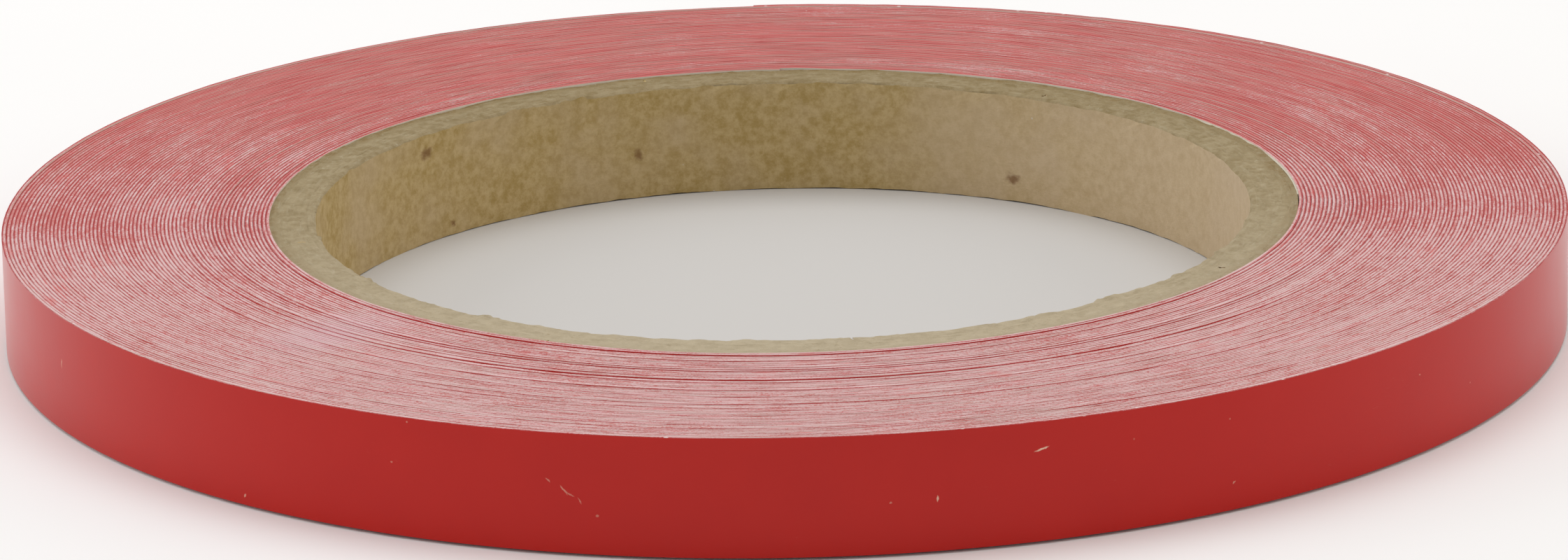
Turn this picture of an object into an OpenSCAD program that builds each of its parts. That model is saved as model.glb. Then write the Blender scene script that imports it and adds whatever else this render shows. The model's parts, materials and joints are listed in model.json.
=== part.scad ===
// Roll of sign vinyl: a narrow slit roll of self-adhesive film wound on a slice of paperboard core.
// The roll lies on its side. +Z is the winding axis and z = 0 is the plane that it rests on.
// The tape is a laminate of three strips wound together in one continuous spiral:
// release liner on the inside, adhesive in the middle, coloured film on the outside.

/* [Core] */
// Diameter of the bore through the core
bore_d = 76.2; // [50:0.1:155]
// Wall of the core, all plies together
core_wall = 3.9; // [2.4:0.1:12]
// How far the winding has slid along the core, which stands proud by this much underneath
slide = 0.15; // [0:0.05:1]
// Gap left where a ply's two edges meet
seam_gap = 0.15; // [0.05:0.05:0.5]
// Lean of a ply's seam away from the core's axis, in degrees
seam_lean = 60; // [0:5:65]
// Thickness of the double-sided tape that starts the winding
start_tape_t = 0.1; // [0.05:0.01:0.3]
// Length of the double-sided tape, along the core
start_tape_len = 25; // [5:1:60]

/* [Tape] */
// Width of the slit tape
tape_w = 9.525; // [5:0.005:60]
// Thickness of the release liner
liner_t = 0.17; // [0.05:0.01:0.4]
// Thickness of the adhesive
adhesive_t = 0.03; // [0.02:0.01:0.1]
// Thickness of the film
film_t = 0.11; // [0.05:0.01:0.4]
// Air between one wrap and the next
wrap_gap = 0.01; // [0.005:0.005:0.05]
// Full turns wound on the core
turns = 66; // [6:1:90]

/* [Loose end] */
// Direction in which the last full turn ends, in degrees from +X
end_angle = 0; // [0:1:359]
// Arc of one stiff length of the tail, in degrees
tail_step = 12; // [4:0.5:14]
// Arc of one stiff length of the film flap, in degrees
flap_step = 5; // [2:0.5:7]
// Air under the tail, above the last turn
tail_lift = 0.03; // [0.02:0.01:0.1]
// Air between the flap's adhesive and the liner that it peels from
flap_lift = 0.02; // [0.01:0.01:0.05]
// Gap at each crease where two stiff lengths meet
crease_gap = 0.02; // [0.01:0.01:0.1]
// Air between the flap's film and the tape that holds the loose end down
end_tape_lift = 0.02; // [0.02:0.01:0.1]
// Thickness of that tape
end_tape_t = 0.05; // [0.03:0.01:0.15]
// Length of the tape beyond the end of the film
end_tape_len = 12; // [4:1:25]

/* [Hidden] */
$fn = 180;

// Pieces that are nodes of their own, counted
plies = 6;
tail_steps = 6;
flap_steps = 4;

// Core
ply_t = core_wall / plies;
core_r = bore_d / 2 + core_wall;
first_seam = -70;
seam_stagger = 137;

// Winding. Each layer's place is counted outwards from the liner's inner face.
adhesive_at = liner_t;
film_at = liner_t + adhesive_t;
laminate_t = liner_t + adhesive_t + film_t;
pitch = laminate_t + wrap_gap;
first_r = core_r + start_tape_t;
turns_in_group = 7;

// Loose end
last_film_r = first_r + (turns - 1) * pitch + laminate_t;
tail_r = first_r + turns * pitch + tail_lift;
flap_start = tail_steps * tail_step;
flap_end = flap_start + flap_steps * flap_step;
flap_r = tail_r + flap_lift;
flap_outer_r = flap_r + laminate_t;
end_tape_on_film_r = flap_outer_r + end_tape_lift;
end_tape_r = last_film_r + tail_lift;

// Arc in degrees that a length along a circle takes up
function arc_of(length, r) = length / r * 180 / PI;

// Band of thickness t outside radius r, between two angles, from the winding's lower face
module band(r, t, from, to, height = tape_w) {
    translate([0, 0, slide])
    rotate([0, 0, from])
    rotate_extrude(angle = to - from)
    translate([r, 0]) square([t, height]);
}

// Turns the spiral's own angles to where the last turn ends
module at_end() {
    rotate([0, 0, end_angle]) children();
}

// One layer of the whole winding. Half-turns about two centres half a pitch apart run on
// from each other smoothly, so the layer is one continuous spiral strip.
module winding(layer_at, t) {
    at_end()
    for (first = [0 : turns_in_group : turns - 1])
        union()
        for (i = [first : min(first + turns_in_group, turns) - 1]) {
            band(first_r + i * pitch + layer_at, t, 0, 180);
            translate([pitch / 2, 0, 0])
            band(first_r + (i + 0.5) * pitch + layer_at, t, 180, 360);
        }
}

// One layer of the tail's stiff length k
module tail_length(k, layer_at, t, to) {
    at_end()
    band(tail_r + layer_at, t, (k - 1) * tail_step + arc_of(crease_gap, tail_r), to);
}

// One layer of the flap's stiff length k
module flap_length(k, layer_at, t) {
    from = flap_start + (k - 1) * flap_step;
    at_end()
    band(flap_r + layer_at, t, from + arc_of(crease_gap, flap_r), from + flap_step);
}

// One paper ply of the core, slit to the tape's width with it: a ring with the leaning seam
// where the strip's edges meet
module core_ply(i) {
    inner = bore_d / 2 + (i - 1) * ply_t;
    middle = inner + ply_t / 2;
    reach = tape_w / 2 * tan(seam_lean);
    sag = middle - sqrt(middle * middle - reach * reach);
    color("burlywood")
    difference() {
        rotate_extrude() translate([inner, 0]) square([ply_t, tape_w]);
        rotate([0, 0, first_seam + (i - 1) * seam_stagger])
        translate([middle, 0, tape_w / 2])
        rotate([seam_lean, 0, 0])
        cube([2 * (ply_t + sag), seam_gap, 4 * (tape_w + reach)], center = true);
    }
}

// Double-sided tape between the core and the first wrap
module core_start_tape() {
    color("ivory")
    at_end()
    band(core_r, start_tape_t, 0, arc_of(start_tape_len, core_r), tape_w - slide);
}

module liner_winding() color("mistyrose") winding(0, liner_t);
module adhesive_winding() color("lightyellow") winding(adhesive_at, adhesive_t);
module film_winding() color("firebrick") winding(film_at, film_t);

// The tail's last liner runs on under the flap to the cut end of the tape
module liner_tail(k) {
    to = k < tail_steps ? k * tail_step : flap_end;
    color("mistyrose") tail_length(k, 0, liner_t, to);
}
module adhesive_tail(k) color("lightyellow") tail_length(k, adhesive_at, adhesive_t, k * tail_step);
module film_tail(k) color("firebrick") tail_length(k, film_at, film_t, k * tail_step);

module adhesive_flap(k) color("lightyellow") flap_length(k, adhesive_at, adhesive_t);
module film_flap(k) color("firebrick") flap_length(k, film_at, film_t);

// Tape that holds the end down: on the last length of film, down past its cut end,
// and on along the wrap underneath
module end_tape() {
    on_film = flap_end - flap_step + arc_of(crease_gap, flap_r);
    step = flap_end + arc_of(crease_gap, flap_r);
    below = step + arc_of(end_tape_t, flap_r);
    color("whitesmoke")
    at_end()
    union() {
        band(end_tape_on_film_r, end_tape_t, on_film, below);
        band(end_tape_r, end_tape_on_film_r + end_tape_t - end_tape_r, step, below);
        band(end_tape_r, end_tape_t, step, step + arc_of(end_tape_len, end_tape_r));
    }
}

for (i = [1:plies])
    core_ply(i);
core_start_tape();
liner_winding();
adhesive_winding();
film_winding();
for (k = [1:tail_steps]) {
    liner_tail(k);
    adhesive_tail(k);
    film_tail(k);
}
for (k = [1:flap_steps]) {
    adhesive_flap(k);
    film_flap(k);
}
end_tape();
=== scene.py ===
"""Roll of sign vinyl: the looks of a narrow slit roll on a paperboard core.

Metres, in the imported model's own frame: +Z is the winding axis and z = 0 is the face it rests on.
"""
import json
import math

import bpy
import numpy as np
from mathutils import Matrix, Vector


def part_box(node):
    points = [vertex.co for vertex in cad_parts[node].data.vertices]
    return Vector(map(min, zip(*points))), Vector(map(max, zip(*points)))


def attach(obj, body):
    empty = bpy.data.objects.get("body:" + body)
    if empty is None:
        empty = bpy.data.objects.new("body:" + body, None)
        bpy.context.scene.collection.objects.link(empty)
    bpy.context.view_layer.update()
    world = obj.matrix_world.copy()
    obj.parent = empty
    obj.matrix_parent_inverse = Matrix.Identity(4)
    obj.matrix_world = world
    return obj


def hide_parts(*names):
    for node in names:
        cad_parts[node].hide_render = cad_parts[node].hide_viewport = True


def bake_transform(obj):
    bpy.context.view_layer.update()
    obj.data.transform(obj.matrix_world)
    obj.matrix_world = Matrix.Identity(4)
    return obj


MM = 0.001
SEED = 20

# ---------------------------------------------------------------- sizes

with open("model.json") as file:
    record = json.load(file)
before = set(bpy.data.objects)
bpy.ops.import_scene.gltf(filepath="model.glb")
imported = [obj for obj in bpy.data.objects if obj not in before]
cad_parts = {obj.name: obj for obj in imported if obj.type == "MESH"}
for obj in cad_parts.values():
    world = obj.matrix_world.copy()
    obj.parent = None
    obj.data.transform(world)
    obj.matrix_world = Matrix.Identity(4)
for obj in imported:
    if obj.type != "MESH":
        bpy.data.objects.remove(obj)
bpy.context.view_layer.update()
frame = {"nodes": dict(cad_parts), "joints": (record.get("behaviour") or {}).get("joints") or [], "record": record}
joints = {j["name"]: j for j in frame["joints"]}
mounts = {m["name"]: m for m in frame["record"]["mounts"]}

LINER_T = 0.17 * MM
ADHESIVE_T = 0.03 * MM
FILM_T = 0.11 * MM
WRAP_GAP = 0.01 * MM
START_TAPE_T = 0.10 * MM
TAIL_LIFT = 0.03 * MM
FLAP_LIFT = 0.02 * MM
TAPE_T = 0.05 * MM
TAPE_LIFT = 0.02 * MM
# How far the turns stand above or below each other at the slit faces.
EDGE_WANDER = 0.10 * MM
# The strip starts straight behind the core, and its first turns lie snug on the core.
STRIP_START = math.radians(90)
SNUG_TURNS = 16

PITCH = LINER_T + ADHESIVE_T + FILM_T + WRAP_GAP
LAYERS = {
    "liner": (0.0, LINER_T),
    "adhesive": (LINER_T, ADHESIVE_T),
    "film": (LINER_T + ADHESIVE_T, FILM_T),
}
bore_r = mounts["core_bore"]["dims"]["r_mm"] * MM
core_low, core_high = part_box("core_ply_1")
core_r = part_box("core_ply_6")[1].x
strip_low, strip_high = (corner.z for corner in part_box("film_winding"))
tape_w = strip_high - strip_low
strip_mid = (strip_low + strip_high) / 2
first_r = core_r + START_TAPE_T


def joint_angle(name):
    """Direction of a joint's axis from the winding axis, in radians."""
    x, y, _ = joints[name]["pos_m"]
    return math.atan2(y, x)


def count(prefix):
    """How many joints have this prefix."""
    return sum(n.startswith(prefix) for n in joints)


tail_steps = count("unroll_")
flap_steps = count("peel_")
END_ANGLE = joint_angle("unroll_1")
TAIL_STEP = joint_angle("unroll_2") - END_ANGLE
FLAP_STEP = joint_angle("peel_2") - joint_angle("peel_1")
tail_outer_r = math.hypot(*joints["unroll_1"]["pos_m"][:2])
turns = round((tail_outer_r - first_r - TAIL_LIFT) / PITCH)
WOUND = turns * 2 * math.pi
FLAP_START = tail_steps * TAIL_STEP
FLAP_END = FLAP_START + flap_steps * FLAP_STEP

# ---------------------------------------------------------------- curves of chance


def wander(x, step, seed):
    """Smooth random line: a random value at each multiple of step, cosine-eased between them."""
    cells = x / step
    low = np.floor(cells).astype(int)
    values = np.random.default_rng(seed).uniform(-1, 1, int(low.max()) + 3 - min(int(low.min()), 0))
    ease = (1 - np.cos((cells - low) * math.pi)) / 2
    return values[low] * (1 - ease) + values[low + 1] * ease


def wander_round(angle, cells, seed):
    """The same round a circle: the last random value runs on into the first."""
    values = np.random.default_rng(seed).uniform(-1, 1, cells)
    x = np.mod(angle, 2 * math.pi) / (2 * math.pi) * cells
    low = np.floor(x).astype(int)
    ease = (1 - np.cos((x - low) * math.pi)) / 2
    return values[low % cells] * (1 - ease) + values[(low + 1) % cells] * ease


def eased(x):
    """0 below 0, 1 above 1, and 3x^2 - 2x^3 between."""
    x = np.clip(x, 0, 1)
    return x * x * (3 - 2 * x)


# ---------------------------------------------------------------- meshes

SHARP_ANGLE = math.radians(38)


def add_object(name, mesh, materials):
    for material in materials:
        mesh.materials.append(material)
    piece = bpy.data.objects.new(name, mesh)
    bpy.context.scene.collection.objects.link(piece)
    return piece


def sweep(name, rings, along, around, materials, slots):
    """Closed tube through sections. rings[i, j] is corner j of section i; a quad joins corners j
    and j + 1 of sections i and i + 1, and a flat cap closes each end. The UV map holds metres along
    the tube and metres around the section. slots[j] is the material of the strip after corner j."""
    n, c = rings.shape[:2]
    i, j = np.meshgrid(np.arange(n - 1), np.arange(c), indexing="ij")
    k = (j + 1) % c
    quads = np.stack([i * c + j, (i + 1) * c + j, (i + 1) * c + k, i * c + k], -1).reshape(-1, 4)
    a, b = along[i], along[i + 1]
    u = np.stack([a, b, b, a], -1).reshape(-1, 4)
    v = np.stack([around[j], around[j], around[j + 1], around[j + 1]], -1).reshape(-1, 4)
    corners = rings.reshape(-1, 3)
    p, q, r = corners[quads[:, 0]], corners[quads[:, 1]], corners[quads[:, 2]]
    s = corners[quads[:, 3]]
    volume = np.einsum("ij,ij->i", p, np.cross(q, r) + np.cross(r, s)).sum()
    caps = [np.arange(c), np.arange(c)[::-1] + (n - 1) * c]
    if volume < 0:
        quads, u, v = quads[:, ::-1], u[:, ::-1], v[:, ::-1]
        caps = [cap[::-1] for cap in caps]
    mesh = bpy.data.meshes.new(name)
    mesh.vertices.add(len(corners))
    mesh.vertices.foreach_set("co", corners.astype(np.float32).ravel())
    loops = np.concatenate([quads.ravel(), *caps])
    totals = np.concatenate([np.full(len(quads), 4), [c, c]])
    starts = np.concatenate([[0], np.cumsum(totals)[:-1]])
    mesh.loops.add(len(loops))
    mesh.loops.foreach_set("vertex_index", loops.astype(np.int32))
    mesh.polygons.add(len(totals))
    mesh.polygons.foreach_set("loop_start", starts.astype(np.int32))
    strip_slots = np.asarray(slots)[j].ravel()
    faces = np.concatenate([strip_slots, [slots[0], slots[0]]])
    mesh.polygons.foreach_set("material_index", faces.astype(np.int32))
    flat = np.stack([u, v], -1).reshape(-1, 2)
    ends = np.zeros((2 * c, 2))
    mesh.uv_layers.new(name="strip").data.foreach_set(
        "uv", np.concatenate([flat, ends]).astype(np.float32).ravel())
    mesh.update(calc_edges=True)
    mesh.validate()
    mesh.polygons.foreach_set("use_smooth", np.ones(len(mesh.polygons), bool))
    mesh.set_sharp_from_angle(angle=SHARP_ANGLE)
    return add_object(name, mesh, materials)


# ---------------------------------------------------------------- materials


class Wire:
    """A socket that takes part in sums: each operator adds the Math node that works it out."""

    def __init__(self, finish, socket):
        self.finish = finish
        self.socket = socket

    def math(self, operation, *values):
        return self.finish.node("Math", {"operation": operation}, values)

    def __add__(self, other):
        return self.math("ADD", self, other)

    __radd__ = __add__

    def __sub__(self, other):
        return self.math("SUBTRACT", self, other)

    def __rsub__(self, other):
        return self.math("SUBTRACT", other, self)

    def __mul__(self, other):
        return self.math("MULTIPLY", self, other)

    __rmul__ = __mul__

    def most(self, other):
        """The larger of the two."""
        return self.math("MAXIMUM", self, other)

    def root(self):
        return self.math("SQRT", self)


class Finish:
    """One material, and the nodes that its patterns are worked out with."""

    def __init__(self, name):
        self.material = bpy.data.materials.new(name)
        self.material.use_nodes = True
        self.tree = self.material.node_tree
        self.tree.nodes.clear()

    def node(self, kind, settings=None, sockets=(), output=0):
        """A node of this type with its settings set, its sockets filled from values or wires, and
        the wire that leaves its output. A sequence fills sockets in order, a dict by name."""
        made = self.tree.nodes.new("ShaderNode" + kind)
        for key, value in (settings or {}).items():
            setattr(made, key, value)
        pairs = sockets.items() if isinstance(sockets, dict) else enumerate(sockets)
        for key, value in pairs:
            if isinstance(value, Wire):
                self.tree.links.new(value.socket, made.inputs[key])
            elif value is not None:
                made.inputs[key].default_value = value
        return Wire(self, made.outputs[output]) if made.outputs else None

    def place(self):
        """Metres in the object's own frame."""
        return self.node("TexCoord", output="Object")

    def strip(self):
        """Metres along the strip and across it."""
        return self.node("UVMap", {"uv_map": "strip"})

    def scaled(self, vector, by):
        return self.node("VectorMath", {"operation": "MULTIPLY"}, [vector, by])

    def split(self, vector):
        """The three coordinates of a vector."""
        return [self.node("SeparateXYZ", {}, [vector], axis) for axis in "XYZ"]

    def arcs(self, at, stretch):
        """Coordinates in which a pattern is drawn out round the winding axis by this much."""
        x, y, _ = self.split(at)
        radius = (x * x + y * y).root()
        return self.node("CombineXYZ", {}, [radius, x * (1 / stretch), y * (1 / stretch)]), radius

    def ragged(self, at, size, amount):
        """Coordinates pushed about by up to half of amount, for the outline of a torn mark."""
        push = self.node("TexNoise", {}, {"Vector": at, "Scale": 1 / size, "Detail": 3.0}, "Color")
        centred = self.node("VectorMath", {"operation": "SUBTRACT"}, [push, (0.5, 0.5, 0.5)])
        by = self.scaled(centred, (2 * amount, 2 * amount, 2 * amount))
        return self.node("VectorMath", {"operation": "ADD"}, [at, by])

    def spot(self, at, centre, turn, sizes, soft=0.5):
        """A mark round centre, 1 inside and 0 outside: sizes are its half-sizes outwards from the
        axis, along the strip and upwards, once it is turned by these Euler angles."""
        near = self.node("Mapping", {"vector_type": "TEXTURE"}, {
            "Vector": at, "Location": centre, "Rotation": turn, "Scale": sizes})
        length = self.node("VectorMath", {"operation": "LENGTH"}, [near], "Value")
        return self.rise(length, 1.0, 1.0 - soft)

    def noise(self, vector, size, detail=3.0, rough=0.55):
        """Cloud from 0 to 1 with features about size metres across."""
        return self.node("TexNoise", {}, {
            "Vector": vector, "Scale": 1 / size, "Detail": detail, "Roughness": rough})

    def rise(self, value, low, high):
        """0 up to low and 1 from high, eased between. It falls instead if low is the larger."""
        return self.node("MapRange", {"interpolation_type": "SMOOTHSTEP"}, {
            "Value": value, "From Min": low, "From Max": high, "To Min": 0.0, "To Max": 1.0})

    def specks(self, vector, cell, radius, share):
        """Scattered round specks: in each cell of this size a dot of up to this radius, kept in
        this share of the cells."""
        settings = {"feature": "F1"}
        sockets = {"Vector": vector, "Scale": 1 / cell, "Randomness": 1.0}
        distance = self.node("TexVoronoi", settings, sockets, "Distance")
        chance = self.node("TexVoronoi", settings, sockets, "Color")
        chance = self.node("SeparateColor", {}, [chance], "Red")
        kept = self.rise(chance, share, share * 0.6)
        inside = self.rise(distance, radius / cell, radius / cell * 0.45)
        return kept * inside

    def mix(self, first, second, share):
        """Colour from first to second as share goes from 0 to 1."""
        first, second = (c if isinstance(c, Wire) else (*c, 1.0) for c in (first, second))
        made = self.tree.nodes.new("ShaderNodeMix")
        made.data_type = "RGBA"
        names = {"Factor_Float": share, "A_Color": first, "B_Color": second}
        for socket in made.inputs:
            value = names.get(socket.identifier)
            if isinstance(value, Wire):
                self.tree.links.new(value.socket, socket)
            elif value is not None:
                socket.default_value = value
        return Wire(self, next(o for o in made.outputs if o.identifier == "Result_Color"))

    def bump(self, height, depth, strength):
        """Normal of a surface whose height of 1 stands depth metres up."""
        return self.node("Bump", {}, {"Height": height, "Distance": depth, "Strength": strength})

    def surface(self, **sockets):
        """Ends the material in a Principled shader with these sockets."""
        named = {key.replace("_", " ").title().replace("Ior", "IOR"): value
                 for key, value in sockets.items()}
        shader = self.node("BsdfPrincipled", {}, named)
        self.node("OutputMaterial", {}, [shader])
        return self.material


# Marks on the outer wrap: direction in degrees, height, half-length and half-width in mm, slant in
# degrees and strength.
FACE_MARKS = [
    (-72.6, 7.5, 0.75, 0.10, 16, 0.90),
    (-79.9, 4.4, 0.32, 0.10, 85, 0.80),
    (-83.1, 4.3, 0.14, 0.11, 0, 0.35),
    (-153.5, 5.8, 0.48, 0.07, 82, 0.75),
    (-106.4, 5.9, 0.30, 0.07, -40, 0.35),
    (-105.3, 5.2, 0.55, 0.08, -52, 0.40),
    (-104.9, 4.9, 0.50, 0.06, -30, 0.30),
    (-104.2, 4.4, 0.35, 0.07, -65, 0.30),
    (-103.0, 3.3, 0.16, 0.12, 0, 0.30),
    (-130.8, 1.0, 0.20, 0.10, 60, 0.55),
    (-118.0, 6.0, 0.13, 0.10, 0, 0.35),
    (-58.0, 2.4, 0.22, 0.08, 35, 0.45),
    (-40.0, 6.6, 0.16, 0.09, 0, 0.35),
    (20.0, 5.1, 0.60, 0.07, 12, 0.55),
    (64.0, 3.2, 0.30, 0.08, 70, 0.50),
    (128.0, 6.4, 0.45, 0.07, -25, 0.50),
    (171.0, 4.0, 0.25, 0.09, 40, 0.45),
]


def vinyl_face():
    """Semi-gloss red film: faint mottle, pale specks, a few scratches and a fine orange peel."""
    f = Finish("vinyl_face")
    at, place = f.strip(), f.place()
    mottle = f.noise(at, 6 * MM, 4)
    fine = f.noise(at, 0.35 * MM, 2)
    red = f.mix((0.450, 0.0045, 0.0010), (0.500, 0.0085, 0.0025), mottle)
    marks = 0.35 * f.specks(at, 2.8 * MM, 0.10 * MM, 0.30)
    worn = f.ragged(place, 0.25 * MM, 0.10 * MM)
    for direction, height, long, wide, slant, strength in FACE_MARKS:
        a = math.radians(direction)
        centre = (tail_outer_r * math.cos(a), tail_outer_r * math.sin(a), height * MM)
        turn = (math.radians(slant), 0.0, a)
        marks = marks.most(strength * f.spot(worn, centre, turn, (1 * MM, long * MM, wide * MM)))
    patch = f.rise(f.noise(at, 9 * MM, 2), 0.58, 0.72)
    rubbed = f.rise(f.noise(f.scaled(at, (0.4, 1.6, 1.0)), 0.5 * MM, 5, 0.75), 0.60, 0.76)
    marks = marks.most(0.16 * patch * rubbed)
    colour = f.mix(red, (0.80, 0.52, 0.38), marks)
    rough = 0.26 + 0.08 * mottle + 0.30 * marks
    normal = f.bump(fine + 1.5 * marks, 0.004 * MM, 0.5)
    return f.surface(base_color=colour, roughness=rough, ior=1.5, specular_ior_level=0.30,
                     sheen_weight=0.32, sheen_roughness=0.22, normal=normal)


# Painted glare on the slit face, a pale patch where the light glints: its direction, its distance
# from the axis, and its half-sizes outwards, along the strip and upwards.
PAINTED_GLARE_ANGLE = math.radians(-136)
PAINTED_GLARE_R = 49 * MM
PAINTED_GLARE_SIZES = (9 * MM, 6 * MM, 30 * MM)
# How far behind the axis the slit face starts to turn into its back look, and where it has done so.
FACE_BACK = (-30 * MM, 45 * MM)


def cut_edge(name, smeared, clean, level, dark):
    """Slit edge of one layer, seen end on. The knife has dragged red over it in streaks along the
    strip, most of all at the back, and fibre dust lies on it in a grain; here and there is dirt.
    A pale patch at the front left is painted glare."""
    f = Finish(name)
    at = f.place()
    long_arcs, radius = f.arcs(at, 26)
    short_arcs, _ = f.arcs(at, 7)
    bands = f.noise(long_arcs, 0.55 * MM, 3, 0.6)
    broad = f.noise(long_arcs, 2.4 * MM, 2)
    dashes = f.noise(short_arcs, 0.20 * MM, 3, 0.65)
    grain = f.noise(at, 0.17 * MM, 3, 0.7)
    clouds = f.noise(at, 13 * MM, 3)
    back = f.rise(f.split(at)[1], *FACE_BACK)
    # Painted glare: a pale patch at the front left, where light glints off the slit face.
    painted_glare_at = (PAINTED_GLARE_R * math.cos(PAINTED_GLARE_ANGLE), PAINTED_GLARE_R * math.sin(PAINTED_GLARE_ANGLE), strip_high)
    painted_glare = f.spot(at, painted_glare_at, (0, 0, PAINTED_GLARE_ANGLE), PAINTED_GLARE_SIZES, 0.9)
    fine = bands * 0.36 + dashes * 0.82 + grain * 1.05 - 1.115
    pale = fine - back * 0.40 * fine + back * 0.55 * (broad - 0.5)
    pale = pale + clouds * 0.40 - back * 0.28 + painted_glare * 0.12
    pale = f.rise(pale, 0.345 - level, 0.625 - level)
    colour = f.mix(smeared, clean, pale)
    dragged = f.rise(f.noise(short_arcs, 0.40 * MM, 3), 0.55, 0.66) * f.rise(clouds, 0.50, 0.62)
    colour = f.mix(colour, (0.62, 0.085, 0.075), dragged * 0.5)
    # The painted glare also tints the slit face pale lavender there.
    colour = f.mix(colour, (0.62, 0.40, 0.47), painted_glare * (0.15 + 0.35 * grain))
    dirt = f.specks(at, 1.5 * MM, 0.10 * MM, 0.16)
    colour = f.mix(colour, dark, dirt * 0.7)
    rim = f.rise(radius, tail_outer_r - 0.7 * MM, tail_outer_r - 0.2 * MM)
    white = 0.7 * f.specks(at, 2.2 * MM, 0.09 * MM, 0.25)
    white = white.most(0.8 * rim * f.specks(at, 1.3 * MM, 0.22 * MM, 0.4))
    colour = f.mix(colour, (0.88, 0.80, 0.78), white)
    normal = f.bump(grain + dashes, 0.03 * MM, 0.8)
    return f.surface(base_color=colour, roughness=0.62 + 0.2 * grain, ior=1.45,
                     specular_ior_level=0.4, normal=normal)


def liner_face():
    """Siliconed paper: a smooth pale sheet with a faint cloudiness."""
    f = Finish("liner_face")
    at = f.strip()
    clouds = f.noise(at, 1.2 * MM, 5, 0.6)
    colour = f.mix((0.76, 0.70, 0.61), (0.85, 0.80, 0.72), clouds)
    return f.surface(base_color=colour, roughness=0.36 + 0.1 * clouds, ior=1.42,
                     normal=f.bump(clouds, 0.01 * MM, 0.4))


def adhesive_face():
    """Clear tacky coat over the back of the film, with fine flow marks."""
    f = Finish("adhesive_face")
    at = f.strip()
    flow = f.noise(f.scaled(at, (0.25, 1.0, 1.0)), 0.5 * MM, 3)
    colour = f.mix((0.62, 0.26, 0.22), (0.74, 0.42, 0.37), flow)
    return f.surface(base_color=colour, roughness=0.16 + 0.14 * flow, ior=1.47, coat_weight=0.5,
                     coat_roughness=0.1, normal=f.bump(flow, 0.02 * MM, 0.5))


# Dark knots in the board of the inner wall: direction in degrees, height and half-sizes in mm.
WALL_KNOTS = [(141.8, 7.8, 0.95, 0.75), (137.3, 1.0, 0.45, 0.45), (108.8, 3.9, 0.55, 0.70),
              (58.8, 2.1, 0.95, 0.65), (-35.0, 5.5, 0.80, 0.55), (-110.0, 3.0, 0.60, 0.70)]


def board_wall():
    """Inner wall of the core: olive-brown paperboard with a fine mottle, fibre flecks and knots, and
    painted light that makes its right side paler.
    """
    f = Finish("board_wall")
    at = f.place()
    clouds = f.noise(at, 11 * MM, 4, 0.55)
    mottle = f.noise(at, 0.85 * MM, 5, 0.72)
    fibre = f.noise(f.scaled(at, (1.0, 1.0, 2.2)), 0.35 * MM, 4, 0.7)
    colour = f.mix((0.385, 0.268, 0.090), (0.540, 0.408, 0.205), f.rise(mottle, 0.30, 0.70))
    colour = f.mix(colour, (0.55, 0.430, 0.285), f.rise(clouds, 0.44, 0.70) * 0.5)
    # Painted light: the wall turns paler and greyer towards the right, as if more light falls there.
    right = f.rise(f.split(at)[0], 4 * MM, 34 * MM)
    colour = f.mix(colour, f.mix((0.56, 0.430, 0.300), (0.64, 0.520, 0.390), mottle), right * 0.6)
    colour = f.mix(colour, (0.270, 0.180, 0.060), f.rise(fibre, 0.58, 0.78) * 0.30)
    torn_at = f.ragged(at, 0.5 * MM, 0.45 * MM)
    for direction, height, wide, tall in WALL_KNOTS:
        a = math.radians(direction)
        centre = (bore_r * math.cos(a), bore_r * math.sin(a), height * MM)
        knot = f.spot(torn_at, centre, (0, 0, a), (2 * MM, wide * MM, tall * MM), 0.8)
        colour = f.mix(colour, (0.170, 0.075, 0.025), knot * (0.45 + 0.6 * mottle))
    small_knots = f.specks(at, 5 * MM, 0.30 * MM, 0.30)
    colour = f.mix(colour, (0.260, 0.150, 0.050), small_knots * 0.5)
    flecks = f.specks(at, 3.0 * MM, 0.13 * MM, 0.25)
    colour = f.mix(colour, (0.62, 0.55, 0.45), flecks * 0.7)
    height = mottle * 0.6 + fibre * 0.6
    return f.surface(base_color=colour, roughness=0.82, ior=1.4, specular_ior_level=0.3,
                     normal=f.bump(height, 0.06 * MM, 0.8))


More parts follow.
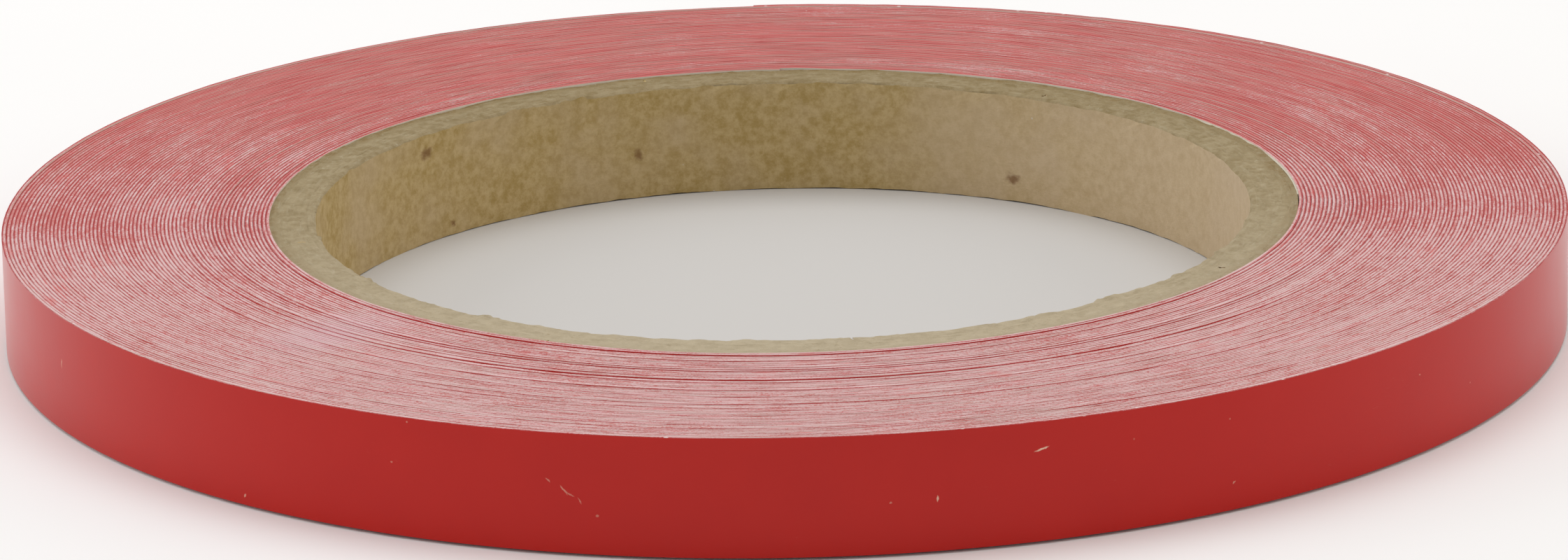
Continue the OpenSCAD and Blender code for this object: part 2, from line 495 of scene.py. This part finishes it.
def board_cut():
    """Slit edge of the core: tan torn fibre, with brown tufts towards the outermost ply."""
    f = Finish("board_cut")
    at = f.place()
    arcs, radius = f.arcs(at, 5)
    fibre = f.noise(f.scaled(at, (1.0, 1.0, 0.4)), 0.30 * MM, 6, 0.75)
    tufts = f.noise(at, 0.9 * MM, 4, 0.6)
    layers = f.noise(arcs, 0.35 * MM, 3, 0.6)
    patches = f.noise(at, 6 * MM, 3)
    colour = f.mix((0.295, 0.222, 0.105), (0.425, 0.340, 0.200), f.rise(tufts, 0.28, 0.70))
    colour = f.mix(colour, (0.50, 0.43, 0.29), f.rise(layers, 0.50, 0.75) * 0.45)
    colour = f.mix(colour, (0.54, 0.48, 0.36), f.rise(fibre, 0.54, 0.78) * 0.40)
    outer = f.rise(radius + patches * 1.8 * MM, core_r - 0.5 * MM, core_r + 0.6 * MM)
    colour = f.mix(colour, (0.235, 0.150, 0.045), outer * f.rise(tufts, 0.40, 0.62) * 0.8)
    back = f.rise(f.split(at)[1], -42 * MM, 42 * MM)
    colour = f.mix(colour, f.mix((0.66, 0.575, 0.44), (0.20, 0.135, 0.060), back),
                   0.5 - 1.0 * back + 0.75 * back * back)
    lint = f.rise(f.noise(f.scaled(at, (1.0, 1.0, 0.5)), 0.45 * MM, 5, 0.8), 0.56, 0.70)
    lint_colour = f.mix((0.22, 0.155, 0.07), (0.66, 0.60, 0.47), f.rise(patches, 0.42, 0.58))
    colour = f.mix(colour, lint_colour, lint * 0.35)
    dirt = f.specks(at, 2.4 * MM, 0.15 * MM, 0.18)
    colour = f.mix(colour, (0.12, 0.075, 0.030), dirt * 0.6)
    return f.surface(base_color=colour, roughness=0.88, ior=1.4, specular_ior_level=0.3,
                     normal=f.bump(fibre + 0.6 * tufts, 0.12 * MM, 1.0))


def tissue():
    """Double-sided tissue tape: dull ivory paper."""
    f = Finish("tissue_tape")
    weave = f.noise(f.place(), 0.5 * MM, 5, 0.7)
    colour = f.mix((0.60, 0.56, 0.45), (0.72, 0.68, 0.58), weave)
    return f.surface(base_color=colour, roughness=0.7, normal=f.bump(weave, 0.02 * MM, 0.6))


def clear_tape():
    """Clear packing tape: glossy, with streaks in its adhesive."""
    f = Finish("clear_tape")
    at = f.strip()
    streaks = f.noise(f.scaled(at, (0.35, 1.0, 1.0)), 1.1 * MM, 4)
    colour = f.mix((0.80, 0.74, 0.62), (0.90, 0.88, 0.84), streaks)
    return f.surface(base_color=colour, roughness=0.12 + 0.1 * streaks, ior=1.49,
                     alpha=0.08 + 0.14 * streaks, normal=f.bump(streaks, 0.02 * MM, 0.5))


def pale_floor():
    """Matt pale board under the roll, darker inside the ring with painted shade."""
    f = Finish("pale_floor")
    at = f.place()
    _, radius = f.arcs(at, 1)
    # Painted shade: the board is darker inside the ring, where the roll shades the floor.
    inside = f.rise(radius, 60 * MM, 45 * MM)
    grain = f.noise(at, 40 * MM, 2)
    colour = f.mix((0.93, 0.93, 0.93), (0.95, 0.95, 0.95), grain)
    colour = f.mix(colour, (0.62, 0.605, 0.59), inside)
    return f.surface(base_color=colour, roughness=0.8, specular_ior_level=0.1)


VINYL_FACE = vinyl_face()
VINYL_EDGE = cut_edge("vinyl_edge", (0.405, 0.034, 0.036), (0.56, 0.22, 0.225), 0.27,
                      (0.10, 0.03, 0.03))
LINER_EDGE = cut_edge("liner_edge", (0.585, 0.178, 0.165), (0.715, 0.495, 0.495), 0.40,
                      (0.20, 0.14, 0.14))
ADHESIVE_EDGE = cut_edge("adhesive_edge", (0.47, 0.105, 0.105), (0.63, 0.34, 0.34), 0.33,
                         (0.15, 0.06, 0.06))
LINER_FACE = liner_face()
ADHESIVE_FACE = adhesive_face()
STRIP_FINISH = {
    "film": [VINYL_FACE, VINYL_EDGE],
    "adhesive": [ADHESIVE_FACE, ADHESIVE_EDGE],
    "liner": [LINER_FACE, LINER_EDGE],
}

# ---------------------------------------------------------------- the wound strip

# Level of each turn as a share of EDGE_WANDER: low and uneven, and high next to the core and at the
# outside.
MOST_LEVEL = 0.17
FIRST_LEVEL = 0.85
LAST_LEVEL = 0.90
step_rng = np.random.default_rng(SEED)
turn_level = step_rng.uniform(0.0, MOST_LEVEL, turns + 3)
turn_level[:2] = FIRST_LEVEL
turn_level[-4:] = LAST_LEVEL
# How far some turns stand proud of their neighbours at the front, as a share of EDGE_WANDER.
PROUD_TURNS = {5: 0.35, 12: 0.90, 13: 0.50, 18: 0.95, 19: 0.60, 20: 0.85, 22: 0.40, 28: 0.35,
               33: 0.15, 39: 0.40, 47: 0.20, 58: 0.30}
turn_proud = np.zeros(turns + 3)
for turn, share in PROUD_TURNS.items():
    turn_proud[turn] = share


def axial_shift(turned):
    """How far the tape stands up at this many radians along it: a level for each turn, eased into
    the next over its last sixth, more at the front for a proud turn, plus a slow drift."""
    at = turned / (2 * math.pi)
    whole = np.floor(at).astype(int)
    ease = eased((at - whole - 0.85) / 0.15)
    front = (1 - np.sin(turned + END_ANGLE)) / 2
    level = turn_level[whole] * (1 - ease) + turn_level[whole + 1] * ease
    proud = turn_proud[whole] * (1 - ease) + turn_proud[whole + 1] * ease
    return EDGE_WANDER * np.clip(level + proud * front + 0.10 * wander(turned, 0.5, SEED + 1), 0, 1)


# Where a turn starts to do something and over how much it is eased, both as shares of a turn: it
# comes down off the start tape, goes up onto it again, and climbs over the strip's own start.
OFF_TAPE = (0.09, 0.10)
ON_TAPE = (0.98, 0.018)
CLIMB = (0.984, 0.0125)


def snug(turned):
    """How far the first turns are drawn in to the core. The even spiral would leave a gap that
    grows up to where the strip climbs over its own start, straight behind the core. Here each turn
    lies on what is under it, start tape or core, and climbs at the last. It fades out over the next
    turns."""
    at = turned / (2 * math.pi)
    around = at - np.floor(at)
    since = at - STRIP_START / (2 * math.pi)
    part = since - np.floor(since)
    past_tape = eased((around - OFF_TAPE[0]) / OFF_TAPE[1])
    before_tape = 1 - eased((around - ON_TAPE[0]) / ON_TAPE[1])
    off_tape = past_tape * before_tape
    not_yet = 1 - eased((part - CLIMB[0]) / CLIMB[1])
    fade = np.clip(1 - since / SNUG_TURNS, 0, 1)
    level = PITCH * (STRIP_START / (2 * math.pi) + part * not_yet)
    return -fade * (level + off_tape * (START_TAPE_T - WRAP_GAP))


def strip_centre(turned, r):
    """Point of the spiral: half-turns about two centres half a pitch apart, each starting where the
    one before ends, so the radius grows by half a pitch at each."""
    half = np.floor(turned / math.pi + 1e-9).astype(int)
    half = np.minimum(half, 2 * turns)
    radius = r + half * PITCH / 2
    x = np.where(half % 2 == 1, PITCH / 2, 0.0) + radius * np.cos(turned)
    y = radius * np.sin(turned)
    c, s = math.cos(END_ANGLE), math.sin(END_ANGLE)
    return x * c - y * s, x * s + y * c


def lift(turned, layer):
    """How far the loose end stands off the wrap beneath it: eased in over the first degrees of the
    tail, and again over the first degree of the flap for what peels off."""
    tail = TAIL_LIFT * eased((turned - WOUND + math.radians(1.5)) / math.radians(5))
    if layer == "liner":
        return tail
    return tail + FLAP_LIFT * eased((turned - WOUND - FLAP_START) / math.radians(1) + 0.5)


# How far each layer's slit edges sit back, how much they fray finely and broadly, and how much they
# tilt.
SUNK = {"film": 0.012 * MM, "adhesive": 0.030 * MM, "liner": 0.0}
FINE_FRAY = 0.010 * MM
BROAD_FRAY = 0.006 * MM
EDGE_TILT = 0.012 * MM


def layer_strip(name, layer, start, end, step):
    """One layer of the tape between two angles along the spiral: a rectangle as thick as the layer
    and as high as the tape is wide, carried along the spiral, its slit edges standing up or down
    with axial_shift and tilted a little."""
    at, t = LAYERS[layer]
    n = max(int(round((end - start) / step)), 4) + 1
    turned = np.linspace(start, end, n)
    off = lift(turned, layer) + snug(turned)
    inner = strip_centre(turned, first_r + at + off)
    outer = strip_centre(turned, first_r + at + t + off)
    shift = axial_shift(turned)
    seed = SEED + 10 + len(layer)
    fray = FINE_FRAY * wander(turned, 0.021, seed) + BROAD_FRAY * wander(turned, 0.11, seed + 1)
    tilt = EDGE_TILT * wander(turned, 0.05, seed + 2)
    sunk = SUNK[layer]
    high = strip_high - EDGE_WANDER + shift - sunk + fray
    low = strip_low + np.maximum(shift + sunk + 0.5 * fray, 0.0)
    corners = [(inner, low), (outer, low), (outer, high + tilt), (inner, high - tilt)]
    rings = np.stack([np.stack([x, y, z], -1) for (x, y), z in corners], 1)
    along = turned * (first_r + turned / (2 * math.pi) * PITCH / 2)
    around = np.array([0, t, t + tape_w, 2 * t + tape_w, 2 * t + 2 * tape_w])
    piece = sweep(name, rings, along, around, STRIP_FINISH[layer], [1, 0, 1, 0])
    return piece


def on_spiral(angle):
    """Point of the last turn's outer face, at mid-height, this far past the end of the winding."""
    x, y = strip_centre(np.array([WOUND + angle]), first_r + PITCH)
    return float(x[0]), float(y[0]), strip_mid


WINDING_STEP = math.radians(360 / 190)
TAIL_FINE = math.radians(0.4)
FIRST_BEND = math.radians(1.5)
for layer in LAYERS:
    winding = layer_strip(f"wound_{layer}", layer, STRIP_START, WOUND - FIRST_BEND, WINDING_STEP)
    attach(winding, "roll")
    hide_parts(f"{layer}_winding")
    for k in range(1, tail_steps + 1):
        a = (k - 1.5) * TAIL_STEP if k > 1 else -FIRST_BEND
        b = (k - 0.5) * TAIL_STEP
        length = layer_strip(f"loose_{layer}_{k}", layer, WOUND + a, WOUND + b, TAIL_FINE)
        on_spiral(a)
        on_spiral(b)
        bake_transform(length)
        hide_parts(f"{layer}_tail_{k}")
    last = f"tail_{tail_steps}"
    from_here = FLAP_START - TAIL_STEP / 2
    if layer == "liner":
        rest = layer_strip("loose_liner_end", layer, WOUND + from_here, WOUND + FLAP_END, TAIL_FINE)
        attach(rest, last)
        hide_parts(f"liner_tail_{tail_steps}")
        continue
    peel_start = FLAP_START - math.radians(0.4)
    rest = layer_strip(f"loose_{layer}_end", layer, WOUND + from_here, WOUND + peel_start,
                       TAIL_FINE)
    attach(rest, last)
    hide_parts(f"{layer}_tail_{tail_steps}")
    for k in range(1, flap_steps + 1):
        a = FLAP_START + (k - 1.5) * FLAP_STEP if k > 1 else peel_start
        b = FLAP_START + (k - 0.5) * FLAP_STEP
        bend = layer_strip(f"peeled_{layer}_{k}", layer, WOUND + a, WOUND + b, TAIL_FINE / 2)
        on_spiral(a)
        on_spiral(b)
        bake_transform(bend)
        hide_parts(f"{layer}_flap_{k}")
    tip = layer_strip(f"peeled_{layer}_tip", layer, WOUND + FLAP_END - FLAP_STEP / 2,
                      WOUND + FLAP_END, TAIL_FINE / 2)
    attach(tip, f"flap_{flap_steps}")
    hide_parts(f"{layer}_flap_{flap_steps}")

# ---------------------------------------------------------------- the core

BOARD_WALL = board_wall()
BOARD_CUT = board_cut()
SEAM_LEAN = math.radians(60)
FIRST_SEAM = math.radians(-70)
SEAM_STAGGER = math.radians(137)
SEAM_HALF = 0.05 * MM
plies = sum(n.startswith("core_ply_") for n in frame["nodes"])
ply_t = (core_r - bore_r) / plies
core_mid = (core_low.z + core_high.z) / 2
AROUND_STEPS = 900
WALL_ROWS, CUT_ROWS = 9, 5
EDGE_ROUND = 0.18 * MM
LOW_FIBRE = 0.05 * MM


def torn(theta, r, seed):
    """Height of torn fibre on a slit edge of the core, in metres: broad unevenness plus tufts."""
    coarse = 0.05 * wander_round(theta, 60, seed)
    broad = coarse + 0.05 * wander_round(theta + r / 0.9 / MM, 190, seed + 1)
    tufts = 0.09 * np.clip(wander_round(theta + 3 * r, 420, seed + 2) - 0.35, 0, 1)
    return (broad + tufts) * MM


def burr(theta, seed):
    """Ragged lip along the core's inner edge: scattered lumps up to 0.4 mm high, and low fuzz."""
    lumps = np.clip(wander_round(theta, 130, seed) - 0.45, 0, 1) / 0.55
    fine = 0.6 + 0.4 * wander_round(theta, 520, seed + 1)
    fuzz = np.clip(wander_round(theta, 300, seed + 2) - 0.1, 0, 1)
    return MM * (0.40 * lumps * fine + 0.09 * fuzz)


def core_ply(i):
    """Ply i as a strip bent into a ring: theta runs from one side of its leaning seam to the other.
    The section runs up the inner wall, across the torn upper edge, down the outer wall and back
    across the lower edge. Each point's theta is shifted by its height, so the seam leans."""
    inner, outer = bore_r + (i - 1) * ply_t, bore_r + i * ply_t
    middle = (inner + outer) / 2
    rise = np.linspace(0, 1, WALL_ROWS)
    across = np.linspace(0, 1, CUT_ROWS + 1)[1:-1]
    r = np.concatenate([np.full(WALL_ROWS, inner), inner + across * ply_t,
                        np.full(WALL_ROWS, outer), outer - across * ply_t])
    h = np.concatenate([rise, np.ones(len(across)), rise[::-1], np.zeros(len(across))])
    z = core_low.z + h * (core_high.z - core_low.z)
    seam = FIRST_SEAM + (i - 1) * SEAM_STAGGER
    t = np.linspace(0, 1, AROUND_STEPS + 1)[:, None]
    gap = SEAM_HALF / math.cos(SEAM_LEAN) / middle
    theta = seam - (z - core_mid) * math.tan(SEAM_LEAN) / middle + gap + t * (2 * math.pi - 2 * gap)
    r, z, h = (np.broadcast_to(x, theta.shape).copy() for x in (r, z, h))
    upper = torn(theta, r, SEED + 40)
    lower = torn(theta, r, SEED + 50)
    lip = burr(theta, SEED + 60) * np.clip(1 - (r - bore_r) / (0.9 * MM), 0, 1) ** 1.5
    round_off = EDGE_ROUND * np.clip(1 - (r - bore_r) / (1.8 * EDGE_ROUND), 0, 1) ** 2
    top_share = eased((h - 0.80) / 0.20)
    low_share = eased((0.20 - h) / 0.20)
    z = z + top_share * (upper + lip - round_off) + low_share * np.maximum(LOW_FIBRE - lower, 0)
    if i == 1:
        r = r - top_share * lip * 0.45 * (r < inner + 1e-7)
        r = r + (r < inner + 1e-7) * 0.03 * MM * wander_round(theta, 90, SEED + 80)
    rings = np.stack([r * np.cos(theta), r * np.sin(theta), z], -1)
    along = np.linspace(0, 2 * math.pi * middle, AROUND_STEPS + 1)
    wall = core_high.z - core_low.z
    marks = np.concatenate([rise * wall, wall + across * ply_t, wall + ply_t + rise * wall,
                            2 * wall + ply_t + across * ply_t, [2 * wall + 2 * ply_t]])
    slots = [0] * (WALL_ROWS - 1) + [1] * (CUT_ROWS) + [0] * (WALL_ROWS - 1) + [1] * (CUT_ROWS)
    piece = sweep(f"board_ply_{i}", rings, along, marks, [BOARD_WALL, BOARD_CUT], slots)
    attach(piece, "roll")
    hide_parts(f"core_ply_{i}")


for i in range(1, plies + 1):
    core_ply(i)


def dress(node, material):
    """Gives a CAD node that stays its own finish."""
    slots = frame["nodes"][node].data.materials
    slots.clear()
    slots.append(material)


dress("core_start_tape", tissue())

# ---------------------------------------------------------------- the holding tape

TAPE_LAP = 12 * MM
TAPE_SLOPE = 0.9 * MM
TAPE_STEPS = 90


def holding_tape():
    """Tape over the loose end: it lies on the last of the film, slopes down past the cut end, and
    lies on the wrap underneath, with a slight ripple along both slit edges."""
    r_film = first_r + turns * PITCH + TAIL_LIFT + FLAP_LIFT + PITCH - WRAP_GAP + TAPE_LIFT
    r_wrap = first_r + (turns - 1) * PITCH + PITCH - WRAP_GAP + TAIL_LIFT
    start = FLAP_END - FLAP_STEP + math.radians(0.1)
    end = FLAP_END + TAPE_LAP / r_wrap
    angle = np.linspace(start, end, TAPE_STEPS)
    drop = eased((angle - FLAP_END) * r_film / TAPE_SLOPE)
    ripple = 0.012 * MM * (1 + wander(angle, 0.02, SEED + 90))
    inner_r = r_film + (r_wrap - r_film) * drop + ripple * drop
    outer_r = inner_r + TAPE_T
    low = strip_low + 0.02 * MM + 0.02 * MM * (1 + wander(angle, 0.012, SEED + 91)) / 2
    high = strip_high - EDGE_WANDER - 0.03 * MM * (1 + wander(angle, 0.014, SEED + 92)) / 2
    world = angle + END_ANGLE
    corners = [(inner_r, low), (outer_r, low), (outer_r, high), (inner_r, high)]
    rings = np.stack(
        [np.stack([r * np.cos(world), r * np.sin(world), z], -1) for r, z in corners], 1)
    around = np.array([0, TAPE_T, TAPE_T + tape_w, 2 * TAPE_T + tape_w, 2 * TAPE_T + 2 * tape_w])
    piece = sweep("holding_tape", rings, angle * r_film, around, [clear_tape()], [0, 0, 0, 0])
    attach(piece, f"flap_{flap_steps}")
    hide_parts("end_tape")


holding_tape()

# ---------------------------------------------------------------- floor, light and camera

FLOOR_SIZE = 6.0
floor_mesh = bpy.data.meshes.new("floor")
half = FLOOR_SIZE / 2
floor_corners = [(-half, -half, 0), (half, -half, 0), (half, half, 0), (-half, half, 0)]
floor_mesh.from_pydata(floor_corners, [], [(0, 1, 2, 3)])
floor = add_object("floor", floor_mesh, [pale_floor()])


def softbox(name, place, aim, size, watts, colour=(1, 1, 1)):
    """Rectangular area light of this size at place, facing aim."""
    data = bpy.data.lights.new(name, "AREA")
    data.shape = "RECTANGLE"
    data.size, data.size_y = size
    data.energy = watts
    data.color = colour
    lamp = bpy.data.objects.new(name, data)
    bpy.context.scene.collection.objects.link(lamp)
    lamp.location = place
    lamp.rotation_euler = (Vector(aim) - Vector(place)).to_track_quat("-Z", "Y").to_euler()


softbox("overhead", (0.0, 0.15, 0.75), (0, 0, 0), (0.9, 0.7), 2.9)
softbox("left_side", (-0.75, 0.05, 0.28), (0, 0, 0), (0.5, 0.5), 1.5)
softbox("right_side", (0.75, 0.05, 0.28), (0, 0, 0), (0.5, 0.5), 0.95, (1.0, 0.90, 0.76))

world = bpy.data.worlds.new("studio")
world.use_nodes = True
background = world.node_tree.nodes["Background"].inputs
background["Color"].default_value = (1.0, 0.985, 0.965, 1)
background["Strength"].default_value = 0.57
bpy.context.scene.world = world
bpy.context.scene.view_settings.view_transform = "Standard"

CAMERA_DISTANCE = 0.7011
CAMERA_RAISE = 0.28503
CAMERA_PITCH = -0.0025
CAMERA_ROLL = -0.0198
LENS_MM = 196.9


def studio_camera():
    """Camera aimed at the roll's middle from a little above it, then pitched and rolled."""
    data = bpy.data.cameras.new("camera")
    data.sensor_width = 36.0
    data.lens = LENS_MM
    data.clip_start, data.clip_end = 0.05, 20.0
    camera = bpy.data.objects.new("camera", data)
    bpy.context.scene.collection.objects.link(camera)
    away = Vector((0, -math.cos(CAMERA_RAISE), math.sin(CAMERA_RAISE))) * CAMERA_DISTANCE
    forward = -away.normalized()
    right = Vector((1, 0, 0))
    up = right.cross(forward)
    tipped = forward * math.cos(CAMERA_PITCH) + up * math.sin(CAMERA_PITCH)
    up = up * math.cos(CAMERA_PITCH) - forward * math.sin(CAMERA_PITCH)
    right, up = (right * math.cos(CAMERA_ROLL) + up * math.sin(CAMERA_ROLL),
                 up * math.cos(CAMERA_ROLL) - right * math.sin(CAMERA_ROLL))
    turn = Matrix((right, up, -tipped)).transposed().to_4x4()
    camera.matrix_world = Matrix.Translation(away + Vector((0, 0, strip_mid))) @ turn
    bpy.context.scene.camera = camera


studio_camera()
